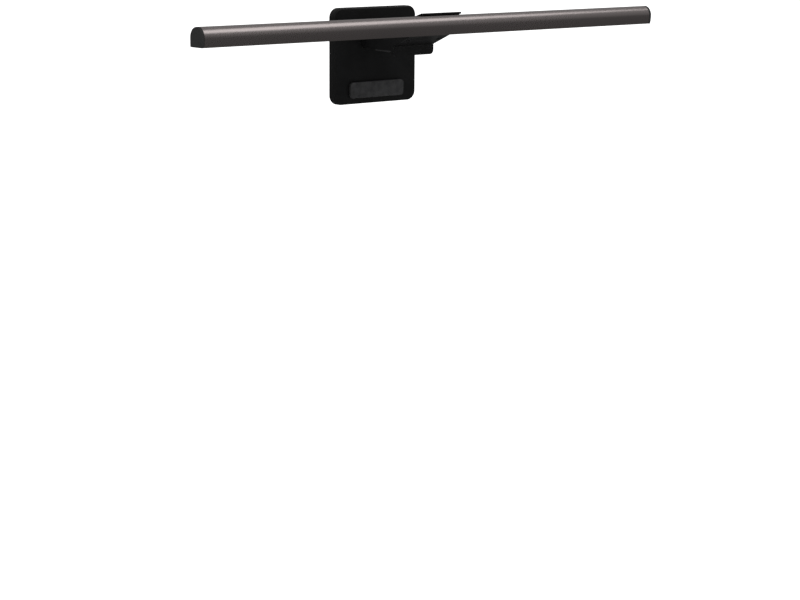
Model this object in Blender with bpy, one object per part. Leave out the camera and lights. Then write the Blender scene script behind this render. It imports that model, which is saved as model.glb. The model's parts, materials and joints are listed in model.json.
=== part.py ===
"""Monitor light bar: a tilting aluminium lamp on a clip with a swinging rear unit.

The bar hangs in front of a monitor's top edge and tilts about its own length. The clip's
lip hooks over the front of the monitor, its top pad rests on the edge, and the rear unit
swings about a second hinge until its pad meets the monitor's back.

World frame: metres, +Z up, +X along the bar, +Y from the bar to the back of the monitor.
The origin is the middle of the underside of the top rest pad.
Outlines are lists of (y, z) pairs in millimetres, seen from the end of the bar.
"""
import math

import bmesh
import bpy
from mathutils import Vector

MM = 0.001
GAP = 0.3

# Frame: where the two hinge axes are, in millimetres (both run along X).
BAR_AXIS = (-56.2, 24.5)
REAR_AXIS = (27.7, 5.0)

# The bar's section, about its own axis.
BAR_LENGTH = 500.0
CAP_THICK = 2.5
BAR_RADIUS = 8.7
BAR_FRONT = 7.6
BAR_TUCK = 1.0
BAR_FLAT = -7.3
BAR_WALL = 1.3
BAR_CORNER = 1.0
SLOT_START = -30.0
SLOT_END = 48.0

# Tilt hinge.
SHAFT_RADIUS = 1.5
BORE_RADIUS = SHAFT_RADIUS + GAP
EAR_RADIUS = 3.1
EAR_INNER = 6.5
EAR_OUTER = 11.5
EAR_ANGLE = 10.0
BLOCK_INNER = 12.6
BLOCK_OUTER = 18.6
WASHER_THICK = 0.5

# Clip, about the bar's axis.
ARM_HALF = 22.5
LIP_HALF = 23.0
ARM_WALL = 1.8
ARM_SLOPE = 18.3
ARM_RIDGE = (1.0, 11.1)
ARM_BACK = 78.7
ARM_FLOOR = -23.0
COVER_THICK = 1.8
CRADLE_RADIUS = BAR_RADIUS + 0.6
CORNER_SWING = 11.6
CRADLE_STEP = 8.0
UNDER_SLOPE = 23.3
UNDER_POINT = (37.7, -18.9)
LIP_FRONT = 37.7
LIP_BACK = 40.7
LIP_BOTTOM = -27.5
CORE_HALF = 13.0
SCREW_X = 17.0
COVER_SCREWS_Y = (24.0, 71.5)

# Rear unit, about its own hinge axis.
PANEL_HALF = 46.4
PANEL_TOP = 31.0
PANEL_BOTTOM = -53.5
PANEL_FRONT = 5.5
PANEL_THICK = 8.0
PANEL_CORNER = 8.5
PANEL_WALL = 1.6
BARREL_RADIUS = 4.0
BARREL_HALF = 9.0
LUG_INNER = 9.9
LUG_OUTER = 14.9
WEIGHT_SCREW = (34.0, -28.0)

DARK_PLASTIC = ((0.012, 0.012, 0.013), 0.55, 0.0)
CAP_PLASTIC = ((0.023, 0.023, 0.023), 0.6, 0.0)
GUNMETAL = ((0.13, 0.115, 0.115), 0.35, 1.0)
STEEL = ((0.45, 0.45, 0.46), 0.35, 1.0)
SILICONE = ((0.02, 0.02, 0.02), 0.85, 0.0)
OPAL = ((0.9, 0.9, 0.88), 0.4, 0.0)
BOARD = ((0.03, 0.12, 0.06), 0.5, 0.0)
LED_YELLOW = ((0.85, 0.6, 0.12), 0.5, 0.0)
CABLE = ((0.02, 0.02, 0.022), 0.6, 0.0)
CAST_ZINC = ((0.3, 0.3, 0.31), 0.45, 1.0)


def clear_scene():
    for old in list(bpy.data.objects):
        bpy.data.objects.remove(old)


def make_material(name, finish):
    colour, roughness, metallic = finish
    material = bpy.data.materials.new(name)
    material.use_nodes = True
    shader = material.node_tree.nodes["Principled BSDF"]
    shader.inputs["Base Color"].default_value = (*colour, 1.0)
    shader.inputs["Roughness"].default_value = roughness
    shader.inputs["Metallic"].default_value = metallic
    return material


def place(name, bm, finish, at=(0.0, 0.0, 0.0), parent=None, smooth=30.0):
    """Turn a bmesh in millimetres into a named object at a place in millimetres."""
    bmesh.ops.recalc_face_normals(bm, faces=bm.faces)
    bmesh.ops.scale(bm, vec=(MM, MM, MM), verts=bm.verts)
    mesh = bpy.data.meshes.new(name)
    bm.to_mesh(mesh)
    bm.free()
    mesh.shade_smooth()
    mesh.set_sharp_from_angle(angle=math.radians(smooth))
    item = bpy.data.objects.new(name, mesh)
    bpy.context.collection.objects.link(item)
    item.location = Vector(at) * MM
    item.parent = parent
    if finish:
        mesh.materials.append(make_material(name, finish))
    return item


def carve(target, bm, operation="DIFFERENCE"):
    """Cut or join a bmesh, in the target's own frame, with an exact Boolean."""
    helper = place("shape_" + target.name, bm, None, parent=target)
    helper.hide_render = True
    helper.display_type = "WIRE"
    modifier = target.modifiers.new(operation.title(), "BOOLEAN")
    modifier.operation = operation
    modifier.solver = "EXACT"
    modifier.use_self = True
    modifier.object = helper


def prism(bm, outline, x0, x1):
    """Extrude a (y, z) outline along X from x0 to x1."""
    verts = [bm.verts.new((x0, y, z)) for y, z in outline]
    face = bm.faces.new(verts)
    grown = bmesh.ops.extrude_face_region(bm, geom=[face], use_keep_orig=True)
    moved = [v for v in grown["geom"] if isinstance(v, bmesh.types.BMVert)]
    bmesh.ops.translate(bm, vec=(x1 - x0, 0, 0), verts=moved)


def upright(bm, outline, y0, y1):
    """Extrude an (x, z) outline along Y from y0 to y1."""
    verts = [bm.verts.new((x, y0, z)) for x, z in outline]
    face = bm.faces.new(verts)
    grown = bmesh.ops.extrude_face_region(bm, geom=[face], use_keep_orig=True)
    moved = [v for v in grown["geom"] if isinstance(v, bmesh.types.BMVert)]
    bmesh.ops.translate(bm, vec=(0, y1 - y0, 0), verts=moved)


def box(bm, x0, x1, y0, y1, z0, z1):
    prism(bm, [(y0, z0), (y1, z0), (y1, z1), (y0, z1)], x0, x1)


def arc(centre, radius, start, end, steps):
    """Points on an arc in degrees, from the +first axis towards the +second."""
    points = []
    for i in range(steps + 1):
        angle = math.radians(start + (end - start) * i / steps)
        points.append((centre[0] + radius * math.cos(angle), centre[1] + radius * math.sin(angle)))
    return points


def circle(centre, radius, steps=20):
    return arc(centre, radius, 0, 360, steps)[:-1]


def rounded_box(x0, x1, z0, z1, radius, steps=6):
    """A rectangle outline with round corners."""
    points = []
    points += arc((x1 - radius, z0 + radius), radius, -90, 0, steps)
    points += arc((x1 - radius, z1 - radius), radius, 0, 90, steps)
    points += arc((x0 + radius, z1 - radius), radius, 90, 180, steps)
    points += arc((x0 + radius, z0 + radius), radius, 180, 270, steps)
    return points


def lathe(rings, steps=12):
    """A closed turned solid about Z; a ring is (radius, z), from one end's axis to the other's."""
    bm = bmesh.new()
    rows = []
    for radius, z in rings:
        row = [bm.verts.new((radius * c, radius * s, z)) for c, s in circle((0, 0), 1.0, steps)]
        rows.append(row)
    for lower, upper in zip(rows, rows[1:]):
        for i in range(steps):
            j = (i + 1) % steps
            bm.faces.new((lower[i], lower[j], upper[j], upper[i]))
    bm.faces.new(list(reversed(rows[0])))
    bm.faces.new(rows[-1])
    return bm


def screw(name, at, head, shank, turn, parent):
    """A socket screw whose head's underside is at `at` and whose shank runs along local +Z."""
    head_radius, head_height = head
    shank_radius, shank_length = shank
    socket = head_radius * 0.5
    rings = [
        (socket, -head_height * 0.4),
        (socket, -head_height),
        (head_radius * 0.9, -head_height),
        (head_radius, -head_height * 0.8),
        (head_radius, 0.0),
        (shank_radius, 0.0),
        (shank_radius, shank_length - shank_radius * 0.5),
        (shank_radius * 0.5, shank_length),
    ]
    item = place(name, lathe(rings), STEEL, at, parent)
    item.rotation_euler = (math.radians(turn), 0, 0)
    return item


def turned_x(name, rings, finish, at, parent):
    """A turned piece along X; a ring is (radius, x)."""
    bm = lathe(rings, 20)
    for v in bm.verts:
        v.co = (v.co.z, v.co.x, v.co.y)
    return place(name, bm, finish, at, parent)


def washer(name, x0, outer, finish, at, parent):
    bm = bmesh.new()
    prism(bm, circle((0, 0), outer), x0, x0 + WASHER_THICK)
    item = place(name, bm, finish, at, parent)
    hole = bmesh.new()
    prism(hole, circle((0, 0), BORE_RADIUS), x0 - 1, x0 + WASHER_THICK + 1)
    carve(item, hole)


def wire(name, route, radius, parent):
    """A round wire along hand-placed points, as a curve with filled caps."""
    curve = bpy.data.curves.new(name, "CURVE")
    curve.dimensions = "3D"
    curve.bevel_depth = radius * MM
    curve.bevel_resolution = 2
    curve.use_fill_caps = True
    spline = curve.splines.new("POLY")
    spline.points.add(len(route) - 1)
    for point, place_mm in zip(spline.points, route):
        point.co = (*(Vector(place_mm) * MM), 1.0)
    item = bpy.data.objects.new(name, curve)
    bpy.context.collection.objects.link(item)
    item.parent = parent
    curve.materials.append(make_material(name, CABLE))


# ---- bar ----------------------------------------------------------------------------


def front_y(inset, z):
    """The front side below the axis, which tucks in a little towards the bottom."""
    return inset - BAR_FRONT + BAR_TUCK * (z / BAR_FLAT) ** 2


def crown(inset, z_low, steps):
    """The section from a low point in front, over the top, to the axis's height behind."""
    front, radius = BAR_FRONT - inset, BAR_RADIUS - inset
    points = [(front_y(inset, z_low * (4 - i) / 4), z_low * (4 - i) / 4) for i in range(4)]
    points += [(front * y, radius * z) for y, z in arc((0, 0), 1.0, 180, 90, steps)]
    points += arc((0, 0), radius, 90, 0, steps)[1:]
    return points


def bar_outline():
    """The bar's outer section: round on top, upright behind, flat below."""
    centre = (BAR_RADIUS - BAR_CORNER, BAR_FLAT + BAR_CORNER)
    return crown(0.0, BAR_FLAT, 14) + arc(centre, BAR_CORNER, 0, -90, 3)


def shell_outline():
    """The extrusion's section, open below for the diffuser, with two ribs for the board."""
    inner = BAR_RADIUS - BAR_WALL
    lip_top = BAR_FLAT + 0.7
    rib_low, rib_high = -3.9, -3.3
    points = [(-4.8, BAR_FLAT)]
    points += bar_outline()
    points += [(6.2, BAR_FLAT), (6.2, lip_top), (inner, lip_top)]
    points += [(inner, rib_low), (6.4, rib_low), (6.4, rib_high), (inner, rib_high)]
    points += reversed(crown(BAR_WALL, rib_high, 11))
    points += [(-5.0, rib_high), (-5.0, rib_low), (front_y(BAR_WALL, rib_low), rib_low)]
    points += [(front_y(BAR_WALL, lip_top), lip_top), (-4.8, lip_top)]
    return points


def slot_sector():
    """A wedge through the bar's rear wall that lets an arm swing through it."""
    outer = arc((0, 0), 14.0, SLOT_START, SLOT_END, 4)
    inner = arc((0, 0), 6.2, SLOT_END, SLOT_START, 6)
    return outer + inner


def inner_fill():
    """The room inside the shell above the LED board, less a working gap."""
    low, high = -3.9, -3.0
    points = [(-4.7, low), (-4.7, high)]
    points += crown(BAR_WALL + GAP, high, 9)
    points += [(BAR_RADIUS - BAR_WALL - GAP, high), (6.1, high), (6.1, low)]
    return points


def build_bar():
    at = (0, *BAR_AXIS)
    half = BAR_LENGTH / 2
    shell_half = half - CAP_THICK - GAP
    bm = bmesh.new()
    prism(bm, shell_outline(), -shell_half, shell_half)
    shell = place("bar_shell", bm, GUNMETAL, at)
    cutter = bmesh.new()
    for side in (-1, 1):
        edges = sorted((side * (EAR_INNER - 0.5), side * (EAR_OUTER + 0.5)))
        prism(cutter, slot_sector(), *edges)
    prism(cutter, slot_sector(), -1.6, 1.6)
    carve(shell, cutter)

    bm = bmesh.new()
    lower, step, upper = BAR_FLAT, BAR_FLAT + 1.0, BAR_FLAT + 1.6
    section = [(-4.5, lower), (5.9, lower), (5.9, step), (7.1, step)]
    section += [(7.1, upper), (-5.2, upper), (-5.2, step), (-4.5, step)]
    prism(bm, section, -shell_half, shell_half)
    place("light_diffuser", bm, OPAL, parent=shell)

    bm = bmesh.new()
    box(bm, -238, 238, -5.5, 7.1, -4.7, -4.2)
    place("led_board", bm, BOARD, parent=shell)
    bm = bmesh.new()
    box(bm, -236, 236, -1.2, 2.4, -5.4, -5.0)
    place("led_strip", bm, LED_YELLOW, parent=shell)

    for side, label in ((-1, "left"), (1, "right")):
        build_end_cap(side, "end_cap_" + label, shell)
        build_tilt_side(side, label, shell)
    route = [(0, -0.3, 0), (0, -1.7, 0.3), (0, -2.9, 0.0), (0, -3.6, -1.0), (0, -3.8, -2.4), (0, -3.8, -3.8)]
    wire("bar_wire", route, 0.6, shell)


def build_end_cap(side, name, shell):
    outer = side * BAR_LENGTH / 2
    inner = outer - side * CAP_THICK
    bm = bmesh.new()
    prism(bm, bar_outline(), *sorted((inner, outer)))
    cap = place(name, bm, CAP_PLASTIC, parent=shell)
    plug = bmesh.new()
    prism(plug, inner_fill(), *sorted((inner - side * 4.5, inner + side * 1.0)))
    carve(cap, plug, "UNION")


def build_tilt_side(side, label, shell):
    """The stub shaft, its block in the shell, and the friction washer, on one side."""
    shaft_rings = [(2.6, 4.9), (2.6, 6.1), (SHAFT_RADIUS, 6.1), (SHAFT_RADIUS, BLOCK_OUTER)]
    rings = [(radius, side * x) for radius, x in shaft_rings]
    turned_x("tilt_shaft_" + label, rings, STEEL, (0, 0, 0), shell)

    bm = bmesh.new()
    prism(bm, inner_fill(), *sorted((side * BLOCK_INNER, side * BLOCK_OUTER)))
    block = place("shaft_block_" + label, bm, CAST_ZINC, parent=shell)
    hole = bmesh.new()
    prism(hole, circle((0, 0), BORE_RADIUS), *sorted((side * 10, side * 21)))
    carve(block, hole)

    start = EAR_OUTER + GAP if side > 0 else -EAR_OUTER - GAP - WASHER_THICK
    washer("tilt_washer_" + label, start, 2.9, STEEL, (0, 0, 0), shell)


# ---- clip ---------------------------------------------------------------------------


def top_z(y):
    """Height of the arm's sloped top at y."""
    return ARM_RIDGE[1] - math.tan(math.radians(ARM_SLOPE)) * (y - ARM_RIDGE[0])


def below_top(y, depth):
    """Height of a line parallel to the arm's top, at a depth square to it."""
    return top_z(y) - depth / math.cos(math.radians(ARM_SLOPE))


def under_z(y, height=0.0):
    """Height of the arm's sloped underside at y, or of a line above it, square to it."""
    slope = math.radians(UNDER_SLOPE)
    return UNDER_POINT[1] - math.tan(slope) * (y - UNDER_POINT[0]) + height / math.cos(slope)


def meet_circle(radius, line, start):
    """Where a falling line leaves a circle about the bar's axis, searched along +Y."""
    y = start
    while math.hypot(y, line(y)) < radius:
        y += 0.01
    return y, line(y)


def base_outline():
    def rim(y):
        return below_top(y, COVER_THICK + GAP)

    front = meet_circle(CRADLE_RADIUS, rim, 3.0)
    front_angle = math.degrees(math.atan2(front[1], front[0]))
    heel = meet_circle(CORNER_SWING, under_z, 8.0)
    heel_angle = math.degrees(math.atan2(heel[1], heel[0]))
    points = arc((0, 0), CRADLE_RADIUS, front_angle, CRADLE_STEP, 8)
    points += arc((0, 0), CORNER_SWING, CRADLE_STEP, heel_angle, 6)
    points += [(LIP_FRONT, under_z(LIP_FRONT)), (LIP_FRONT, ARM_FLOOR)]
    points += [(ARM_BACK, ARM_FLOOR), (ARM_BACK, rim(ARM_BACK))]
    return points


def base_cavity():
    """The hollow of the arm, open above where the cover closes it."""
    radius = CORNER_SWING + 1.4
    floor = ARM_FLOOR + 2.0

    def inner_under(y):
        return under_z(y, 2.0)

    heel = meet_circle(radius, inner_under, 10.0)
    back = ARM_BACK - 2.0
    return [
        (11.4, 14.0),
        (11.4, 6.4),
        (radius, 0.0),
        heel,
        (LIP_FRONT + 1.5, inner_under(LIP_FRONT + 1.5)),
        (LIP_FRONT + 5.0, floor),
        (back, floor),
        (back, 14.0),
    ]


def swung_box(length0, length1, half, angle):
    """A rectangle along a ray from the bar's axis."""
    a = math.radians(angle)
    along = Vector((math.cos(a), math.sin(a)))
    across = Vector((-math.sin(a), math.cos(a)))
    corners = [(length0, -half), (length1, -half), (length1, half), (length0, half)]
    return [tuple(along * u + across * v) for u, v in corners]


def build_clip():
    at = (0, *BAR_AXIS)
    bm = bmesh.new()
    prism(bm, base_outline(), -ARM_HALF, ARM_HALF)
    base = place("clip_base", bm, DARK_PLASTIC, at)
    add_lip_and_barrel(base)
    hollow_base(base)
    build_cover(base)
    build_pads(base)
    build_core_and_ears(base)
    build_cover_screws(base)
    build_pins(base)
    route = [(0, 83.6, -19.5), (0, 81.0, -19.5), (0, 77.8, -19.0), (0, 74.6, -17.4), (0, 71.0, -15.9)]
    route += [(0, y, below_top(y, 3.9)) for y in (64.0, 52.0, 40.0, 28.0, 22.0)]
    route += [(0, 17.0, 2.5), (0, 13.5, 2.3), (0, 9.0, 1.6), (0, 4.5, 0.8), (0, 0.4, 0.07)]
    wire("clip_wire", route, 0.6, base)
    return base


def rear_offset():
    """The rear hinge's place in the clip's own frame."""
    return REAR_AXIS[0] - BAR_AXIS[0], REAR_AXIS[1] - BAR_AXIS[1]


def add_lip_and_barrel(base):
    lip = bmesh.new()
    top = under_z(LIP_FRONT)
    outline = rounded_box(-LIP_HALF, LIP_HALF, LIP_BOTTOM, top + 4.0, 4.0)
    flat_top = [p for p in outline if p[1] < top]
    flat_top += [(-LIP_HALF, top), (LIP_HALF, top)]
    flat_top.sort(key=lambda p: math.atan2(p[1] - LIP_BOTTOM - 4.0, p[0]))
    upright(lip, flat_top, LIP_FRONT - 0.01, LIP_BACK)
    carve(base, lip, "UNION")

    y, z = rear_offset()
    barrel = bmesh.new()
    outline = arc((y, z), BARREL_RADIUS, -90, 90, 10)
    outline += [(ARM_BACK - 1.0, z + 1.5), (ARM_BACK - 1.0, ARM_FLOOR)]
    outline += [(y - 2.5, ARM_FLOOR)]
    prism(barrel, outline, -BARREL_HALF, BARREL_HALF)
    carve(base, barrel, "UNION")


def hollow_base(base):
    cutter = bmesh.new()
    prism(cutter, base_cavity(), ARM_WALL - ARM_HALF, ARM_HALF - ARM_WALL)
    carve(base, cutter)

    bosses = bmesh.new()
    for y in COVER_SCREWS_Y:
        for x in (-SCREW_X, SCREW_X):
            add_post(bosses, x, y, 3.3, boss_floor(y) - 1.0, boss_floor(y) + 2.0)
    carve(base, bosses, "UNION")

    y, z = rear_offset()
    holes = bmesh.new()
    for side in (-1, 1):
        middle = side * (EAR_INNER + EAR_OUTER) / 2
        half = (EAR_OUTER - EAR_INNER) / 2 + GAP
        prism(holes, swung_box(8.0, 16.0, 2.5, EAR_ANGLE), middle - half, middle + half)
        prism(holes, circle((y, z), BORE_RADIUS), *sorted((side * 1.4, side * (BARREL_HALF + 1))))
    prism(holes, swung_box(8.0, 16.0, 1.2, EAR_ANGLE), -1.2, 1.2)
    box(holes, -1.5, 1.5, ARM_BACK - 4.0, y + BARREL_RADIUS + 1, z - 2.9, z + 2.9)
    for y_screw in COVER_SCREWS_Y:
        for x in (-SCREW_X, SCREW_X):
            add_post(holes, x, y_screw, 1.4, boss_floor(y_screw) - 0.4, boss_floor(y_screw) + 3.0)
            add_post(holes, x, y_screw, 2.5, boss_floor(y_screw) - 8.0, boss_floor(y_screw) - 0.4)
    carve(base, holes)


def boss_floor(y):
    """Height of the arm's inner floor at y."""
    return max(under_z(y, 2.0), ARM_FLOOR + 2.0)


def add_post(bm, x, y, radius, z0, z1, steps=14):
    """A vertical cylinder."""
    column(bm, circle((x, y), radius, steps), z0, z1)


def column(bm, outline, z0, z1):
    """Extrude an (x, y) outline along Z from z0 to z1."""
    verts = [bm.verts.new((x, y, z0)) for x, y in outline]
    face = bm.faces.new(verts)
    grown = bmesh.ops.extrude_face_region(bm, geom=[face], use_keep_orig=True)
    moved = [v for v in grown["geom"] if isinstance(v, bmesh.types.BMVert)]
    bmesh.ops.translate(bm, vec=(0, 0, z1 - z0), verts=moved)


def build_cover(base):
    def under(y):
        return below_top(y, COVER_THICK)

    nose = meet_circle(CRADLE_RADIUS, under, 3.0)
    start = math.degrees(math.acos(ARM_RIDGE[0] / CRADLE_RADIUS))
    end = math.degrees(math.atan2(nose[1], nose[0]))
    outline = [ARM_RIDGE, (ARM_BACK, top_z(ARM_BACK)), (ARM_BACK, under(ARM_BACK))]
    outline += arc((0, 0), CRADLE_RADIUS, end, start, 2)
    bm = bmesh.new()
    prism(bm, outline, -ARM_HALF, ARM_HALF)
    cover = place("clip_cover", bm, DARK_PLASTIC, parent=base)
    posts = bmesh.new()
    pilots = bmesh.new()
    for y in COVER_SCREWS_Y:
        for x in (-SCREW_X, SCREW_X):
            add_post(posts, x, y, 2.6, boss_floor(y) + 2.3, under(y) + 0.9)
            add_post(pilots, x, y, 1.4, boss_floor(y) + 1.0, under(y) - 0.6)
    carve(cover, posts, "UNION")
    carve(cover, pilots)


def build_pads(base):
    floor = -BAR_AXIS[1]
    bm = bmesh.new()
    middle = -BAR_AXIS[0]
    box(bm, -19, 19, middle - 11, middle + 11, floor, ARM_FLOOR - GAP)
    place("top_rest_pad", bm, SILICONE, parent=base)
    bm = bmesh.new()
    outline = rounded_box(-20.5, 20.5, LIP_BOTTOM + 0.6, -BAR_AXIS[1] - 0.2, 1.0, 3)
    upright(bm, outline, LIP_BACK + GAP, LIP_BACK + 1.0)
    place("lip_pad", bm, SILICONE, parent=base)


def build_core_and_ears(base):
    core_top, core_low = 6.6, 8.1
    front, back = 17.0, 70.0
    bm = bmesh.new()
    outline = [(front, below_top(front, core_top)), (back, below_top(back, core_top))]
    outline += [(back, below_top(back, core_low)), (front, below_top(front, core_low))]
    prism(bm, outline, -CORE_HALF, CORE_HALF)
    core = place("arm_core", bm, STEEL, parent=base)

    foot_y = 24.5
    slope = math.radians(ARM_SLOPE)
    screw_axis = Vector((math.sin(slope), math.cos(slope)))
    seat = Vector((foot_y, below_top(foot_y, core_top - GAP)))
    holes = bmesh.new()
    for side in (-1, 1):
        add_slanted_hole(holes, side * 9.0, seat, screw_axis, 1.2)
    carve(core, holes)
    for side, label in ((-1, "left"), (1, "right")):
        build_ear(side, label, base, seat, screw_axis, core_top - GAP)


def add_slanted_hole(bm, x, seat, direction, radius):
    """A cylinder through the core, square to the arm's slope."""
    along = Vector((0, direction[0], direction[1]))
    across = Vector((0, direction[1], -direction[0]))
    start = Vector((x, seat[0], seat[1])) - along * 6.0
    verts = []
    for c, s in circle((0, 0), radius, 12):
        verts.append(bm.verts.new(start + Vector((c, 0, 0)) + across * s))
    face = bm.faces.new(verts)
    grown = bmesh.ops.extrude_face_region(bm, geom=[face], use_keep_orig=True)
    moved = [v for v in grown["geom"] if isinstance(v, bmesh.types.BMVert)]
    bmesh.ops.translate(bm, vec=along * 12.0, verts=moved)


def build_ear(side, label, base, seat, screw_axis, foot_depth):
    """A flat steel ear: an eye on the tilt shaft, an arm, and a foot on the core."""
    half = 2.2
    eye_spread = math.degrees(math.asin(half / EAR_RADIUS))
    outline = arc((0, 0), EAR_RADIUS, EAR_ANGLE + eye_spread, EAR_ANGLE + 360 - eye_spread, 18)
    a = math.radians(EAR_ANGLE)
    along = Vector((math.cos(a), math.sin(a)))
    across = Vector((-math.sin(a), math.cos(a)))
    knee = tuple(along * 15.5 - across * half)
    foot_end = 28.5
    foot_top = foot_depth - 2.0
    outline += [knee, (17.5, below_top(17.5, foot_depth)), (foot_end, below_top(foot_end, foot_depth))]
    outline += [(foot_end, below_top(foot_end, foot_top)), (19.0, below_top(19.0, foot_top))]
    outline += [tuple(along * 14.0 + across * half)]
    x0, x1 = sorted((side * EAR_INNER, side * EAR_OUTER))
    bm = bmesh.new()
    prism(bm, outline, x0, x1)
    ear = place("tilt_ear_" + label, bm, STEEL, parent=base)
    holes = bmesh.new()
    prism(holes, circle((0, 0), BORE_RADIUS), x0 - 1, x1 + 1)
    add_slanted_hole(holes, side * 9.0, seat, screw_axis, 1.2)
    carve(ear, holes)
    head = seat + screw_axis * (2.0 + GAP)
    place_at = (side * 9.0, head[0], head[1])
    screw("ear_screw_" + label, place_at, (1.9, 1.1), (0.9, 3.6), 180.0 - ARM_SLOPE, base)


def build_cover_screws(base):
    for row, y in zip(("front", "back"), COVER_SCREWS_Y):
        for side, label in ((-1, "left"), (1, "right")):
            at = (side * SCREW_X, y, boss_floor(y) - 0.7)
            shank = min(8.0, below_top(y, COVER_THICK) - boss_floor(y) - 0.5)
            screw("cover_screw_" + row + "_" + label, at, (2.2, 1.2), (1.1, shank), 0.0, base)


def build_pins(base):
    y, z = rear_offset()
    for side, label in ((-1, "left"), (1, "right")):
        head = LUG_OUTER + GAP
        profile = [(SHAFT_RADIUS, 2.2), (SHAFT_RADIUS, head), (2.7, head)]
        profile += [(2.7, head + 1.0), (2.2, head + 1.3)]
        rings = [(radius, side * x) for radius, x in profile]
        turned_x("hinge_pin_" + label, rings, STEEL, (0, y, z), base)


# ---- rear unit ----------------------------------------------------------------------


def panel_outline(inset=0.0):
    x, radius = PANEL_HALF - inset, PANEL_CORNER - inset
    return rounded_box(-x, x, PANEL_BOTTOM + inset, PANEL_TOP - inset, radius, 8)


def build_rear():
    at = (0, *REAR_AXIS)
    back = PANEL_FRONT + PANEL_THICK
    seam = back - PANEL_WALL
    bm = bmesh.new()
    upright(bm, panel_outline(), PANEL_FRONT, seam - GAP)
    shell = place("rear_front_shell", bm, DARK_PLASTIC, at)
    shape_front_shell(shell, seam)
    build_back_cover(shell, seam, back)
    build_back_light(shell)
    build_weights(shell)
    build_inlet(shell)
    bm = bmesh.new()
    upright(bm, rounded_box(-30, 30, -48, -34, 3.0, 4), PANEL_FRONT - 3.0, PANEL_FRONT - GAP)
    place("back_pad", bm, SILICONE, parent=shell)
    for side, label in ((-1, "left"), (1, "right")):
        start = BARREL_HALF + 0.2 if side > 0 else -BARREL_HALF - 0.2 - WASHER_THICK
        washer("hinge_washer_" + label, start, 3.6, STEEL, (0, 0, 0), shell)
    route = [(0, 0.3, 0), (0, 3.0, 0.0), (0, 6.3, -0.2), (0, 8.3, -1.6), (0, 9.2, -5.0), (0, 9.3, -12.0)]
    route += [(0, 9.3, -22.0), (0, 9.3, -32.0), (0, 9.3, -38.0), (0, 9.3, -44.5)]
    wire("rear_wire", route, 0.6, shell)


def shape_front_shell(shell, seam):
    lugs = bmesh.new()
    for side in (-1, 1):
        outline = arc((0, 0), BARREL_RADIUS, 90, 270, 12)
        outline += [(PANEL_FRONT + 0.5, -BARREL_RADIUS), (PANEL_FRONT + 0.5, BARREL_RADIUS)]
        prism(lugs, outline, *sorted((side * LUG_INNER, side * LUG_OUTER)))
    carve(shell, lugs, "UNION")

    floor = PANEL_FRONT + PANEL_WALL
    hollow = bmesh.new()
    upright(hollow, panel_outline(PANEL_WALL), floor, seam + 1.0)
    carve(shell, hollow)

    posts = bmesh.new()
    for x, z in corner_screws():
        upright(posts, circle((x, z), 2.8, 14), floor - 0.5, seam - 1.0)
    for side in (-1, 1):
        upright(posts, circle((side * WEIGHT_SCREW[0], WEIGHT_SCREW[1]), 2.4, 14), floor - 0.5, floor + 1.8)
    carve(shell, posts, "UNION")

    holes = bmesh.new()
    for side in (-1, 1):
        prism(holes, circle((0, 0), BORE_RADIUS), *sorted((side * (LUG_INNER - 1), side * (LUG_OUTER + 1))))
        pilot = circle((side * WEIGHT_SCREW[0], WEIGHT_SCREW[1]), 1.4, 12)
        upright(holes, pilot, floor - 0.6, floor + 5.0)
    box(holes, -1.5, 1.5, PANEL_FRONT - 1, floor + 1, -2.2, 1.5)
    box(holes, -5.1, 5.1, 7.6, seam + 1, PANEL_BOTTOM - 1, PANEL_BOTTOM + 3)
    for x, z in corner_screws():
        upright(holes, circle((x, z), 1.4, 12), floor + 0.3, seam + 1.0)
    carve(shell, holes)


def corner_screws():
    places = []
    for z in (PANEL_TOP - 8.0, PANEL_BOTTOM + 8.0):
        for x in (8.0 - PANEL_HALF, PANEL_HALF - 8.0):
            places.append((x, z))
    return places


def build_back_cover(shell, seam, back):
    bm = bmesh.new()
    upright(bm, panel_outline(), seam, back)
    cover = place("rear_back_cover", bm, DARK_PLASTIC, parent=shell)
    holes = bmesh.new()
    upright(holes, rounded_box(-30, 30, -10, 24, 5.0, 5), seam - 1, back + 1)
    for x, z in corner_screws():
        upright(holes, circle((x, z), 2.5, 14), seam + 0.6, back + 1)
        upright(holes, circle((x, z), 1.4, 12), seam - 1, seam + 0.6)
    carve(cover, holes)
    names = ("top_left", "top_right", "bottom_left", "bottom_right")
    for (x, z), label in zip(corner_screws(), names):
        screw("back_screw_" + label, (x, seam + 0.9, z), (2.2, 0.6), (1.1, 3.6), 90.0, shell)


def build_back_light(shell):
    """A diffuser in the back cover's window, with its LED strip and board behind it."""
    top = PANEL_FRONT + PANEL_THICK
    bm = bmesh.new()
    upright(bm, rounded_box(-32, 32, -12, 26, 6.0, 5), top - 2.7, top - 1.9)
    diffuser = place("back_light_diffuser", bm, OPAL, parent=shell)
    raised = bmesh.new()
    upright(raised, rounded_box(-29.7, 29.7, -9.7, 23.7, 4.7, 5), top - 2.2, top - 0.2)
    carve(diffuser, raised, "UNION")
    bm = bmesh.new()
    box(bm, -29, 29, 8.4, 9.2, 3, 12)
    place("back_light_board", bm, BOARD, parent=shell)
    bm = bmesh.new()
    box(bm, -27, 27, 9.5, 9.9, 5.5, 9.5)
    place("back_light_strip", bm, LED_YELLOW, parent=shell)


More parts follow.
